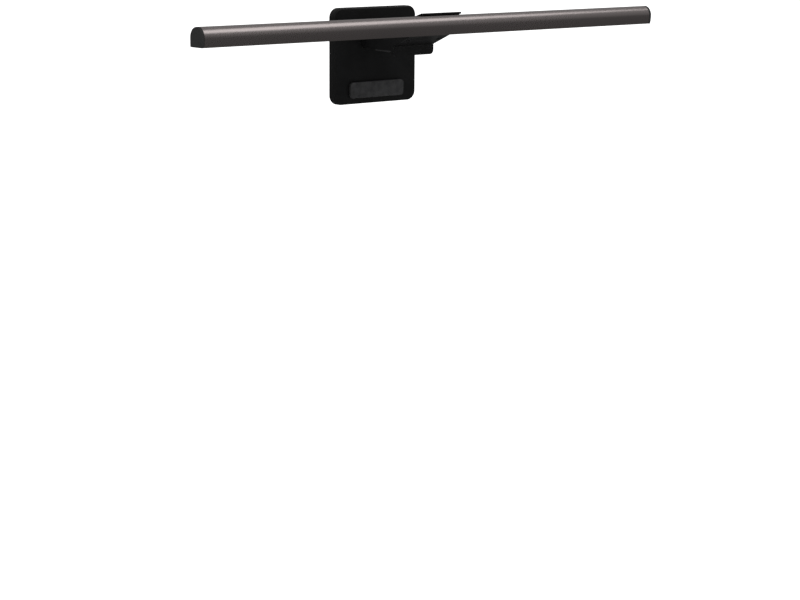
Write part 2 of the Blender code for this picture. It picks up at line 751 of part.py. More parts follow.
def build_weights(shell):
    """Two steel plates low in the rear unit, each held by a screw into a boss."""
    low = PANEL_FRONT + PANEL_WALL + GAP
    high = low + 3.8
    x_screw, z_screw = WEIGHT_SCREW
    for side, label in ((-1, "left"), (1, "right")):
        bm = bmesh.new()
        box(bm, *sorted((side * 3.0, side * 43.0)), low, high, -40.0, -16.0)
        weight = place("counterweight_" + label, bm, STEEL, parent=shell)
        hole = bmesh.new()
        upright(hole, circle((side * x_screw, z_screw), 2.7, 14), low - 1, low + 1.8)
        upright(hole, circle((side * x_screw, z_screw), 1.4, 12), low + 1.7, high + 1)
        upright(hole, circle((side * x_screw, z_screw), 2.6, 14), high - 1.0, high + 1.1)
        carve(weight, hole)
        at = (side * x_screw, high - 0.7, z_screw)
        screw("weight_screw_" + label, at, (2.2, 0.9), (1.1, 2.2), 90.0, shell)


def build_inlet(shell):
    """A flat socket in the bottom edge for the supply lead, on the control board."""
    bm = bmesh.new()
    box(bm, -22, 22, 7.4, 8.2, -51.4, -42.0)
    place("control_board", bm, BOARD, parent=shell)
    low, high = PANEL_BOTTOM, PANEL_BOTTOM + 7.3
    middle = (0.0, 10.1)
    outer = rounded_box(-4.5, 4.5, middle[1] - 1.6, middle[1] + 1.6, 1.5, 4)
    inner = rounded_box(-4.2, 4.2, middle[1] - 1.3, middle[1] + 1.3, 1.2, 4)
    bm = bmesh.new()
    column(bm, outer, low, high)
    can = place("inlet_shell", bm, STEEL, parent=shell)
    hole = bmesh.new()
    column(hole, inner, low - 1, high - 0.6)
    carve(can, hole)
    bm = bmesh.new()
    box(bm, -3.3, 3.3, middle[1] - 0.35, middle[1] + 0.35, low + 0.8, high - 0.9)
    place("inlet_tongue", bm, DARK_PLASTIC, parent=shell)


def main():
    clear_scene()
    build_bar()
    build_clip()
    build_rear()


main()
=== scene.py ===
"""Looks of the monitor light bar: finished meshes, materials, studio and camera.

Lengths in outlines are millimetres, and finished objects are metres in the frame of the CAD.
"""
import json
import math

import bmesh
import bpy
from mathutils import Matrix, Vector


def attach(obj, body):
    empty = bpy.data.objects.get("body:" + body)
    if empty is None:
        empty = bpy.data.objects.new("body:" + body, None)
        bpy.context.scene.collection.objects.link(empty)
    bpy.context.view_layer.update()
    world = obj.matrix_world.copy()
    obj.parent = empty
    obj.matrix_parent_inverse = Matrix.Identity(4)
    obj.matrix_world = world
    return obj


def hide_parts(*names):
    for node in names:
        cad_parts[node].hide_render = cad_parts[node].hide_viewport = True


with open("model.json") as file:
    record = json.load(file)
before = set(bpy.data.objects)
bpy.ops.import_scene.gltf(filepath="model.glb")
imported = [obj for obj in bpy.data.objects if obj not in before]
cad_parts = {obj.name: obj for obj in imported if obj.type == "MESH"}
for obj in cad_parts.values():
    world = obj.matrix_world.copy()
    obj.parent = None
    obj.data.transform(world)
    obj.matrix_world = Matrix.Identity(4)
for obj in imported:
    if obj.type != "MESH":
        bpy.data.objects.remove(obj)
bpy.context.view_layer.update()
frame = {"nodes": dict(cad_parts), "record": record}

MM = 0.001

# Driving sizes, the same as the CAD's.
BAR_AXIS = (-56.2, 24.5)
REAR_AXIS = (27.7, 5.0)
BAR_LENGTH = 500.0
CAP_THICK = 2.5
BAR_RADIUS = 8.7
BAR_FRONT = 7.6
BAR_TUCK = 1.0
BAR_FLAT = -7.3
BAR_WALL = 1.3
BAR_CORNER = 1.0
ARM_HALF = 22.5
LIP_HALF = 23.0
ARM_SLOPE = 18.3
ARM_RIDGE = (1.0, 11.1)
ARM_BACK = 78.7
ARM_FLOOR = -23.0
ARM_WALL = 1.8
COVER_THICK = 1.8
CRADLE_RADIUS = BAR_RADIUS + 0.6
CORNER_SWING = 11.6
CRADLE_STEP = 8.0
UNDER_SLOPE = 23.3
UNDER_POINT = (37.7, -18.9)
LIP_FRONT = 37.7
LIP_BACK = 40.7
LIP_BOTTOM = -27.5
EAR_ANGLE = 10.0
EAR_MIDDLE = 9.0
SLOT_START = -30.0
SLOT_END = 48.0
SCREW_X = 17.0
COVER_SCREWS_Y = (24.0, 71.5)
PANEL_HALF = 46.4
PANEL_TOP = 31.0
PANEL_BOTTOM = -53.5
PANEL_FRONT = 5.5
PANEL_THICK = 8.0
PANEL_CORNER = 8.5
PANEL_WALL = 1.6
BARREL_RADIUS = 4.0
BARREL_HALF = 9.0
LUG_INNER = 9.9
LUG_OUTER = 14.9
WEIGHT_SCREW = (34.0, -28.0)
BORE_RADIUS = 1.8
GAP = 0.3

CAMERA_PLACE = (-1.0845, -1.3037, 0.1369)
CAMERA_HEADING = 39.816
CAMERA_PITCH = -11.975
CAMERA_ROLL = 0.386
CAMERA_LENS = 86.995
FLOOR_Z = -0.42


# ---- materials ------------------------------------------------------------------------


class Finish:
    """A Principled material with procedural layers, in object coordinates (metres)."""

    def __init__(self, name, colour, roughness, metallic=0.0, specular=0.5):
        self.material = bpy.data.materials.new(name)
        self.material.use_nodes = True
        self.nodes = self.material.node_tree.nodes
        self.links = self.material.node_tree.links
        self.shader = self.nodes["Principled BSDF"]
        self.shader.inputs["Base Color"].default_value = (*colour, 1.0)
        self.shader.inputs["Roughness"].default_value = roughness
        self.shader.inputs["Metallic"].default_value = metallic
        self.shader.inputs["Specular IOR Level"].default_value = specular
        self.coordinates = self.nodes.new("ShaderNodeTexCoord").outputs["Object"]
        self.normal = None

    def noise(self, scale, stretch=(1, 1, 1), detail=3.0):
        mapping = self.nodes.new("ShaderNodeMapping")
        mapping.inputs["Scale"].default_value = stretch
        self.links.new(self.coordinates, mapping.inputs["Vector"])
        noise = self.nodes.new("ShaderNodeTexNoise")
        noise.inputs["Scale"].default_value = scale
        noise.inputs["Detail"].default_value = detail
        self.links.new(mapping.outputs["Vector"], noise.inputs["Vector"])
        return noise.outputs["Fac"]

    def cells(self, scale, stretch=(1, 1, 1)):
        mapping = self.nodes.new("ShaderNodeMapping")
        mapping.inputs["Scale"].default_value = stretch
        self.links.new(self.coordinates, mapping.inputs["Vector"])
        cells = self.nodes.new("ShaderNodeTexVoronoi")
        cells.inputs["Scale"].default_value = scale
        self.links.new(mapping.outputs["Vector"], cells.inputs["Vector"])
        return cells.outputs["Distance"]

    def bands(self, scale, direction="X"):
        wave = self.nodes.new("ShaderNodeTexWave")
        wave.bands_direction = direction
        wave.inputs["Scale"].default_value = scale
        self.links.new(self.coordinates, wave.inputs["Vector"])
        return wave.outputs["Fac"]

    def tint(self, factor, low, high, start=0.3, end=0.7):
        """Colour runs from low to high as the factor goes from start to end."""
        ramp = self.nodes.new("ShaderNodeValToRGB")
        ramp.color_ramp.elements[0].position = start
        ramp.color_ramp.elements[0].color = (*low, 1.0)
        ramp.color_ramp.elements[1].position = end
        ramp.color_ramp.elements[1].color = (*high, 1.0)
        self.links.new(factor, ramp.inputs["Fac"])
        self.links.new(ramp.outputs["Color"], self.shader.inputs["Base Color"])

    def gloss(self, factor, low, high):
        """Roughness runs from low to high with the factor."""
        remap = self.nodes.new("ShaderNodeMapRange")
        remap.inputs["From Min"].default_value = 0.3
        remap.inputs["From Max"].default_value = 0.7
        remap.inputs["To Min"].default_value = low
        remap.inputs["To Max"].default_value = high
        self.links.new(factor, remap.inputs["Value"])
        self.links.new(remap.outputs["Result"], self.shader.inputs["Roughness"])

    def relief(self, factor, strength, depth):
        """Add a layer of bump over the layers made before."""
        bump = self.nodes.new("ShaderNodeBump")
        bump.inputs["Strength"].default_value = strength
        bump.inputs["Distance"].default_value = depth
        self.links.new(factor, bump.inputs["Height"])
        if self.normal:
            self.links.new(self.normal, bump.inputs["Normal"])
        self.normal = bump.outputs["Normal"]
        self.links.new(self.normal, self.shader.inputs["Normal"])


def anodised_metal():
    """Fine blasted and anodised aluminium, with faint draw lines along the extrusion."""
    finish = Finish("anodised_gunmetal", (0.31, 0.277, 0.273), 0.27, 1.0)
    clouds = finish.noise(14.0, (0.5, 2, 2))
    finish.tint(clouds, (0.298, 0.266, 0.262), (0.325, 0.290, 0.286))
    finish.gloss(finish.noise(2600.0), 0.25, 0.31)
    finish.relief(finish.noise(900.0, (0.02, 1, 1), 2.0), 0.10, 0.00004)
    finish.relief(finish.noise(5200.0, detail=2.0), 0.16, 0.00003)
    return finish.material


def moulded_plastic(name, low, high, roughness, grain=3800.0, specular=0.5):
    """Moulded plastic with a fine spark-eroded grain and faint colour variation."""
    finish = Finish(name, high, roughness, 0.0, specular)
    finish.tint(finish.noise(60.0), low, high)
    finish.gloss(finish.noise(1500.0), roughness - 0.05, roughness + 0.07)
    finish.relief(finish.cells(grain), 0.22, 0.00004)
    finish.relief(finish.noise(grain * 2, detail=2.0), 0.15, 0.00003)
    return finish.material


def silicone_rubber():
    finish = Finish("silicone_pad", (0.02, 0.02, 0.021), 0.8, 0.0, 0.35)
    finish.tint(finish.noise(220.0), (0.016, 0.016, 0.017), (0.028, 0.028, 0.029))
    finish.gloss(finish.noise(700.0), 0.72, 0.88)
    finish.relief(finish.noise(1800.0), 0.3, 0.00006)
    return finish.material


def opal_acrylic():
    """Milky diffuser: light scatters just under a satin surface."""
    finish = Finish("opal_diffuser", (0.86, 0.86, 0.84), 0.38)
    finish.shader.inputs["Subsurface Weight"].default_value = 0.35
    finish.shader.inputs["Subsurface Radius"].default_value = (0.004, 0.004, 0.0036)
    finish.shader.inputs["Subsurface Scale"].default_value = 0.6
    finish.tint(finish.noise(35.0), (0.84, 0.84, 0.82), (0.89, 0.89, 0.87))
    finish.gloss(finish.noise(1200.0), 0.34, 0.44)
    finish.relief(finish.noise(3000.0), 0.15, 0.00003)
    return finish.material


def bright_steel():
    """Cold-rolled steel with rolling lines."""
    finish = Finish("rolled_steel", (0.55, 0.55, 0.56), 0.36, 1.0)
    finish.tint(finish.noise(120.0, (0.2, 1, 1)), (0.5, 0.5, 0.51), (0.6, 0.6, 0.6))
    finish.gloss(finish.noise(1400.0, (0.05, 1, 1)), 0.3, 0.45)
    finish.relief(finish.noise(1600.0, (0.03, 1, 1)), 0.2, 0.00005)
    return finish.material


def black_oxide():
    """Blackened screw steel, rubbed a little on its high spots."""
    finish = Finish("black_oxide_steel", (0.05, 0.05, 0.055), 0.4, 0.9)
    finish.tint(finish.noise(900.0), (0.035, 0.035, 0.04), (0.075, 0.073, 0.075))
    finish.gloss(finish.noise(2500.0), 0.32, 0.5)
    finish.relief(finish.noise(4000.0), 0.2, 0.00004)
    return finish.material


def cast_zinc():
    finish = Finish("cast_zinc", (0.4, 0.4, 0.41), 0.5, 1.0)
    finish.tint(finish.noise(400.0), (0.34, 0.34, 0.35), (0.46, 0.46, 0.47))
    finish.gloss(finish.noise(900.0), 0.42, 0.6)
    finish.relief(finish.noise(1300.0), 0.35, 0.0001)
    return finish.material


def circuit_board():
    """Green solder mask over a faint net of copper tracks."""
    finish = Finish("circuit_board", (0.02, 0.10, 0.045), 0.42)
    finish.tint(finish.bands(90.0, "DIAGONAL"), (0.012, 0.075, 0.032), (0.025, 0.14, 0.06), 0.45, 0.6)
    finish.gloss(finish.noise(800.0), 0.35, 0.5)
    finish.relief(finish.bands(90.0, "DIAGONAL"), 0.3, 0.00003)
    return finish.material


def phosphor_gel():
    """The yellow gel over a row of chips, with a soft swell over each chip."""
    finish = Finish("phosphor_gel", (0.80, 0.55, 0.10), 0.35)
    finish.tint(finish.bands(110.0), (0.72, 0.46, 0.07), (0.86, 0.62, 0.14))
    finish.gloss(finish.noise(900.0), 0.28, 0.42)
    finish.relief(finish.bands(110.0), 0.4, 0.0001)
    return finish.material


def wire_jacket():
    finish = Finish("wire_jacket", (0.02, 0.02, 0.022), 0.55)
    finish.tint(finish.noise(500.0), (0.016, 0.016, 0.018), (0.028, 0.028, 0.03))
    finish.gloss(finish.noise(1500.0), 0.48, 0.62)
    finish.relief(finish.noise(2500.0), 0.2, 0.00003)
    return finish.material


ANODISED = anodised_metal()
CAP_BLACK = moulded_plastic(
    "cap_plastic", (0.018, 0.018, 0.018), (0.023, 0.023, 0.023), 0.58, specular=0.35
)
CLIP_BLACK = moulded_plastic(
    "clip_plastic", (0.0025, 0.0025, 0.0027), (0.0042, 0.0042, 0.0044), 0.45, specular=0.25
)
SILICONE = silicone_rubber()
OPAL = opal_acrylic()
STEEL = bright_steel()
FASTENER = black_oxide()
ZINC = cast_zinc()
BOARD = circuit_board()
PHOSPHOR = phosphor_gel()
JACKET = wire_jacket()
SLOT_LOOKS = {
    "anodised_shell": ANODISED,
    "cap_plastic": CAP_BLACK,
    "diffuser": OPAL,
    "clip_plastic": CLIP_BLACK,
    "silicone": SILICONE,
    "steel": STEEL,
    "dark_fasteners": FASTENER,
    "cast_blocks": ZINC,
    "circuit_board": BOARD,
    "led_phosphor": PHOSPHOR,
    "wire_jacket": JACKET,
}


# ---- mesh tools -----------------------------------------------------------------------


def arc(centre, radius, start, end, steps):
    """Points on an arc in degrees, from the +first axis towards the +second."""
    points = []
    for i in range(steps + 1):
        angle = math.radians(start + (end - start) * i / steps)
        points.append((centre[0] + radius * math.cos(angle), centre[1] + radius * math.sin(angle)))
    return points


def circle(centre, radius, steps=40):
    return arc(centre, radius, 0, 360, steps)[:-1]


def rounded_box(x0, x1, z0, z1, radius, steps=12):
    """A rectangle outline with round corners."""
    points = []
    points += arc((x1 - radius, z0 + radius), radius, -90, 0, steps)
    points += arc((x1 - radius, z1 - radius), radius, 0, 90, steps)
    points += arc((x0 + radius, z1 - radius), radius, 90, 180, steps)
    points += arc((x0 + radius, z0 + radius), radius, 180, 270, steps)
    return points


def loft(bm, rings):
    """Close a stack of rings of 3-D points, each with the same number of points."""
    rows = []
    for ring in rings:
        rows.append([bm.verts.new(point) for point in ring])
    count = len(rows[0])
    for lower, upper in zip(rows, rows[1:]):
        for i in range(count):
            j = (i + 1) % count
            bm.faces.new((lower[i], lower[j], upper[j], upper[i]))
    bm.faces.new(list(reversed(rows[0])))
    bm.faces.new(rows[-1])


def along_x(outline, x):
    return [(x, y, z) for y, z in outline]


def along_y(outline, y):
    return [(x, y, z) for x, z in outline]


def along_z(outline, z):
    return [(x, y, z) for x, y in outline]


def prism(bm, outline, x0, x1):
    loft(bm, [along_x(outline, x0), along_x(outline, x1)])


def upright(bm, outline, y0, y1):
    loft(bm, [along_y(outline, y0), along_y(outline, y1)])


def column(bm, outline, z0, z1):
    loft(bm, [along_z(outline, z0), along_z(outline, z1)])


def box(bm, x0, x1, y0, y1, z0, z1):
    prism(bm, [(y0, z0), (y1, z0), (y1, z1), (y0, z1)], x0, x1)


def to_object(name, bm, origin):
    """Put a bmesh in millimetres about an (y, z) origin into the world frame."""
    bmesh.ops.recalc_face_normals(bm, faces=bm.faces)
    move = Matrix.Translation(Vector((0, *origin)) * MM) @ Matrix.Scale(MM, 4)
    bm.transform(move)
    mesh = bpy.data.meshes.new(name)
    bm.to_mesh(mesh)
    bm.free()
    item = bpy.data.objects.new(name, mesh)
    bpy.context.collection.objects.link(item)
    return item


def bake_modifiers(item):
    """Replace an object's mesh by what its modifiers make of it."""
    graph = bpy.context.evaluated_depsgraph_get()
    finished = bpy.data.meshes.new_from_object(item.evaluated_get(graph))
    item.modifiers.clear()
    item.data = finished


def carve(item, bm, origin, operation="DIFFERENCE"):
    """Cut or join a bmesh with an exact Boolean, applied at once."""
    helper = to_object("helper", bm, origin)
    modifier = item.modifiers.new("shape", "BOOLEAN")
    modifier.operation = operation
    modifier.solver = "EXACT"
    modifier.use_self = True
    modifier.object = helper
    bake_modifiers(item)
    bpy.data.objects.remove(helper)


def soften(item, width, segments=3, angle=28.0):
    """Round the sharp edges, by a bevel in millimetres, and shade the rest smooth."""
    bevel = item.modifiers.new("edges", "BEVEL")
    bevel.width = width * MM
    bevel.segments = segments
    bevel.limit_method = "ANGLE"
    bevel.angle_limit = math.radians(angle)
    bevel.harden_normals = True
    bevel.use_clamp_overlap = True
    item.data.shade_smooth()
    item.data.set_sharp_from_angle(angle=math.radians(angle + 8.0))


def finish_piece(item, body, slot, node=None):
    """Give a piece its material and its body, and hide the CAD node that it stands for."""
    item.data.materials.clear()
    item.data.materials.append(SLOT_LOOKS[slot])
    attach(item, body)
    if node:
        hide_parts(node)


# ---- the bar --------------------------------------------------------------------------


def front_y(inset, z):
    """The front side below the axis, which tucks in a little towards the bottom."""
    return inset - BAR_FRONT + BAR_TUCK * (z / BAR_FLAT) ** 2


def crown(inset, z_low, steps):
    """The section from a low point in front, over the top, to the axis's height behind."""
    front, radius = BAR_FRONT - inset, BAR_RADIUS - inset
    low = 10
    points = [(front_y(inset, z_low * (low - i) / low), z_low * (low - i) / low) for i in range(low)]
    points += [(front * y, radius * z) for y, z in arc((0, 0), 1.0, 180, 90, steps)]
    points += arc((0, 0), radius, 90, 0, steps)[1:]
    return points


def bar_outline(inset=0.0):
    """The bar's outer section, or one a little smaller all round."""
    corner = max(BAR_CORNER - inset, 0.2)
    centre = (BAR_RADIUS - inset - corner, BAR_FLAT + inset + corner)
    return crown(inset, BAR_FLAT + inset, 36) + arc(centre, corner, 0, -90, 8)


def shell_outline():
    """The extrusion's section, open below for the diffuser, with two ribs for the board."""
    inner = BAR_RADIUS - BAR_WALL
    lip_top = BAR_FLAT + 0.7
    rib_low, rib_high = -3.9, -3.3
    points = [(-4.8, BAR_FLAT)]
    points += bar_outline()
    points += [(6.2, BAR_FLAT), (6.2, lip_top), (inner, lip_top)]
    points += [(inner, rib_low), (6.4, rib_low), (6.4, rib_high), (inner, rib_high)]
    points += reversed(crown(BAR_WALL, rib_high, 30))
    points += [(-5.0, rib_high), (-5.0, rib_low), (front_y(BAR_WALL, rib_low), rib_low)]
    points += [(front_y(BAR_WALL, lip_top), lip_top), (-4.8, lip_top)]
    return points


def slot_sector():
    """A wedge through the bar's rear wall that lets an arm swing through it."""
    outer = arc((0, 0), 14.0, SLOT_START, SLOT_END, 8)
    return outer + arc((0, 0), 6.2, SLOT_END, SLOT_START, 16)


def inner_fill():
    """The room inside the shell above the LED board, less a working gap."""
    low, high = -3.9, -3.0
    points = [(-4.7, low), (-4.7, high)]
    points += crown(BAR_WALL + GAP, high, 24)
    points += [(BAR_RADIUS - BAR_WALL - GAP, high), (6.1, high), (6.1, low)]
    return points


def make_bar_shell():
    half = BAR_LENGTH / 2 - CAP_THICK - GAP
    bm = bmesh.new()
    prism(bm, shell_outline(), -half, half)
    shell = to_object("bar_shell_finished", bm, BAR_AXIS)
    cutter = bmesh.new()
    for side in (-1, 1):
        prism(cutter, slot_sector(), side * EAR_MIDDLE - 3.0, side * EAR_MIDDLE + 3.0)
    prism(cutter, slot_sector(), -1.6, 1.6)
    carve(shell, cutter, BAR_AXIS)
    soften(shell, 0.12, 2)
    finish_piece(shell, "bar", "anodised_shell", "bar_shell")


def make_end_cap(side, label):
    """A moulded cap with a rounded outer rim and a plug inside the shell."""
    outer = BAR_LENGTH / 2
    inner = outer - CAP_THICK
    rings = [(0.0, inner), (0.0, outer - 0.55)]
    rings += [(0.17, outer - 0.2), (0.42, outer - 0.04), (0.75, outer)]
    bm = bmesh.new()
    loft(bm, [along_x(bar_outline(inset), side * x) for inset, x in rings])
    cap = to_object("end_cap_" + label + "_finished", bm, BAR_AXIS)
    plug = bmesh.new()
    prism(plug, inner_fill(), *sorted((side * (inner - 4.5), side * (inner + 1.0))))
    carve(cap, plug, BAR_AXIS, "UNION")
    cap.data.shade_smooth()
    cap.data.set_sharp_from_angle(angle=math.radians(35))
    finish_piece(cap, "bar", "cap_plastic", "end_cap_" + label)


def make_diffuser():
    half = BAR_LENGTH / 2 - CAP_THICK - GAP
    lower, step, upper = BAR_FLAT, BAR_FLAT + 1.0, BAR_FLAT + 1.6
    section = [(-4.5, lower), (5.9, lower), (5.9, step), (7.1, step)]
    section += [(7.1, upper), (-5.2, upper), (-5.2, step), (-4.5, step)]
    bm = bmesh.new()
    prism(bm, section, -half, half)
    diffuser = to_object("light_diffuser_finished", bm, BAR_AXIS)
    soften(diffuser, 0.15, 3)
    finish_piece(diffuser, "bar", "diffuser", "light_diffuser")


# ---- the clip -------------------------------------------------------------------------


def top_z(y):
    return ARM_RIDGE[1] - math.tan(math.radians(ARM_SLOPE)) * (y - ARM_RIDGE[0])


def below_top(y, depth):
    return top_z(y) - depth / math.cos(math.radians(ARM_SLOPE))


def under_z(y, height=0.0):
    slope = math.radians(UNDER_SLOPE)
    return UNDER_POINT[1] - math.tan(slope) * (y - UNDER_POINT[0]) + height / math.cos(slope)


def meet_circle(radius, line, start):
    y = start
    while math.hypot(y, line(y)) < radius:
        y += 0.01
    return y, line(y)


def boss_floor(y):
    return max(under_z(y, 2.0), ARM_FLOOR + 2.0)


def base_outline():
    def rim(y):
        return below_top(y, COVER_THICK + GAP)

    front = meet_circle(CRADLE_RADIUS, rim, 3.0)
    start = math.degrees(math.atan2(front[1], front[0]))
    heel = meet_circle(CORNER_SWING, under_z, 8.0)
    end = math.degrees(math.atan2(heel[1], heel[0]))
    points = arc((0, 0), CRADLE_RADIUS, start, CRADLE_STEP, 20)
    points += arc((0, 0), CORNER_SWING, CRADLE_STEP, end, 16)
    points += [(LIP_FRONT, under_z(LIP_FRONT)), (LIP_FRONT, ARM_FLOOR)]
    points += [(ARM_BACK, ARM_FLOOR), (ARM_BACK, rim(ARM_BACK))]
    return points


def base_cavity():
    radius = CORNER_SWING + 1.4
    floor = ARM_FLOOR + 2.0

    def inner_under(y):
        return under_z(y, 2.0)

    back = ARM_BACK - 2.0
    points = [(11.4, 14.0), (11.4, 6.4), (radius, 0.0), meet_circle(radius, inner_under, 10.0)]
    points += [(LIP_FRONT + 1.5, inner_under(LIP_FRONT + 1.5)), (LIP_FRONT + 5.0, floor)]
    points += [(back, floor), (back, 14.0)]
    return points


def swung_box(length0, length1, half, angle):
    a = math.radians(angle)
    along = Vector((math.cos(a), math.sin(a)))
    across = Vector((-math.sin(a), math.cos(a)))
    corners = [(length0, -half), (length1, -half), (length1, half), (length0, half)]
    return [tuple(along * u + across * v) for u, v in corners]


def make_clip_base():
    bm = bmesh.new()
    prism(bm, base_outline(), -ARM_HALF, ARM_HALF)
    base = to_object("clip_base_finished", bm, BAR_AXIS)

    lip = bmesh.new()
    top = under_z(LIP_FRONT)
    corner = 4.0
    outline = arc((-LIP_HALF + corner, LIP_BOTTOM + corner), corner, 180, 270, 10)
    outline += arc((LIP_HALF - corner, LIP_BOTTOM + corner), corner, -90, 0, 10)
    outline += [(LIP_HALF, top), (-LIP_HALF, top)]
    upright(lip, outline, LIP_FRONT - 0.01, LIP_BACK)
    carve(base, lip, BAR_AXIS, "UNION")

    y, z = REAR_AXIS[0] - BAR_AXIS[0], REAR_AXIS[1] - BAR_AXIS[1]
    barrel = bmesh.new()
    outline = arc((y, z), BARREL_RADIUS, -90, 90, 24)
    outline += [(ARM_BACK - 1.0, z + 1.5), (ARM_BACK - 1.0, ARM_FLOOR)]
    outline += [(y - 2.5, ARM_FLOOR)]
    prism(barrel, outline, -BARREL_HALF, BARREL_HALF)
    carve(base, barrel, BAR_AXIS, "UNION")

    hollow = bmesh.new()
    prism(hollow, base_cavity(), ARM_WALL - ARM_HALF, ARM_HALF - ARM_WALL)
    carve(base, hollow, BAR_AXIS)

    places = [(x, y_screw) for y_screw in COVER_SCREWS_Y for x in (-SCREW_X, SCREW_X)]
    bosses = bmesh.new()
    holes = bmesh.new()
    for x, y_screw in places:
        floor = boss_floor(y_screw)
        column(bosses, circle((x, y_screw), 3.3, 28), floor - 1.0, floor + 2.0)
        column(holes, circle((x, y_screw), 1.4, 20), floor - 0.4, floor + 3.0)
        column(holes, circle((x, y_screw), 2.5, 28), floor - 8.0, floor - 0.4)
    carve(base, bosses, BAR_AXIS, "UNION")
    for side in (-1, 1):
        middle = side * EAR_MIDDLE
        prism(holes, swung_box(8.0, 16.0, 2.5, EAR_ANGLE), middle - 2.8, middle + 2.8)
        prism(holes, circle((y, z), BORE_RADIUS, 24), *sorted((side * 1.4, side * (BARREL_HALF + 1))))
    prism(holes, swung_box(8.0, 16.0, 1.2, EAR_ANGLE), -1.2, 1.2)
    box(holes, -1.5, 1.5, ARM_BACK - 4.0, y + BARREL_RADIUS + 1, z - 2.9, z + 2.9)
    carve(base, holes, BAR_AXIS)
    soften(base, 0.35, 3)
    finish_piece(base, "clip", "clip_plastic", "clip_base")


def make_clip_cover():
    def under(y):
        return below_top(y, COVER_THICK)

    nose = meet_circle(CRADLE_RADIUS, under, 3.0)
    start = math.degrees(math.acos(ARM_RIDGE[0] / CRADLE_RADIUS))
    end = math.degrees(math.atan2(nose[1], nose[0]))
    outline = [ARM_RIDGE, (ARM_BACK, top_z(ARM_BACK)), (ARM_BACK, under(ARM_BACK))]
    outline += arc((0, 0), CRADLE_RADIUS, end, start, 6)
    bm = bmesh.new()
    prism(bm, outline, -ARM_HALF, ARM_HALF)
    cover = to_object("clip_cover_finished", bm, BAR_AXIS)
    posts = bmesh.new()
    pilots = bmesh.new()
    for y in COVER_SCREWS_Y:
        for x in (-SCREW_X, SCREW_X):
            column(posts, circle((x, y), 2.6, 24), boss_floor(y) + 2.3, under(y) + 0.9)
            column(pilots, circle((x, y), 1.4, 20), boss_floor(y) + 1.0, under(y) - 0.6)
    carve(cover, posts, BAR_AXIS, "UNION")
    carve(cover, pilots, BAR_AXIS)
    soften(cover, 0.5, 4)
    finish_piece(cover, "clip", "clip_plastic", "clip_cover")


def make_pads():
    """The silicone pads of the clip; the top rest pad is ribbed where it grips."""
    middle = -BAR_AXIS[0]
    bm = bmesh.new()
    outline = [(x, y) for x, y in rounded_box(-19, 19, middle - 11, middle + 11, 1.5, 8)]
    column(bm, outline, -BAR_AXIS[1], ARM_FLOOR - GAP)
    pad = to_object("top_rest_pad_finished", bm, BAR_AXIS)
    grooves = bmesh.new()
    for i in range(-4, 5):
        box(grooves, i * 4.0 - 0.4, i * 4.0 + 0.4, middle - 9.5, middle + 9.5, -25.5, -24.2)
    carve(pad, grooves, BAR_AXIS)
    soften(pad, 0.15, 2)
    finish_piece(pad, "clip", "silicone", "top_rest_pad")

    bm = bmesh.new()
    outline = rounded_box(-20.5, 20.5, LIP_BOTTOM + 0.6, -BAR_AXIS[1] - 0.2, 1.0, 6)
    upright(bm, outline, LIP_BACK + GAP, LIP_BACK + 1.0)
    pad = to_object("lip_pad_finished", bm, BAR_AXIS)
    soften(pad, 0.15, 3)
    finish_piece(pad, "clip", "silicone", "lip_pad")


# ---- the rear unit --------------------------------------------------------------------


def panel_outline(inset=0.0):
    x, radius = PANEL_HALF - inset, max(PANEL_CORNER - inset, 1.0)
    return rounded_box(-x, x, PANEL_BOTTOM + inset, PANEL_TOP - inset, radius, 14)


def corner_screws():
    places = []
    for z in (PANEL_TOP - 8.0, PANEL_BOTTOM + 8.0):
        for x in (8.0 - PANEL_HALF, PANEL_HALF - 8.0):
            places.append((x, z))
    return places


def rounded_rim(radius, y_face, inward, steps=6):
    """(inset, y) pairs that round an edge off onto a flat face at y_face."""
    pairs = []
    for i in range(steps + 1):
        a = math.radians(90.0 * i / steps)
        pairs.append((radius * (1 - math.cos(a)), y_face - inward * radius * (1 - math.sin(a))))
    return pairs


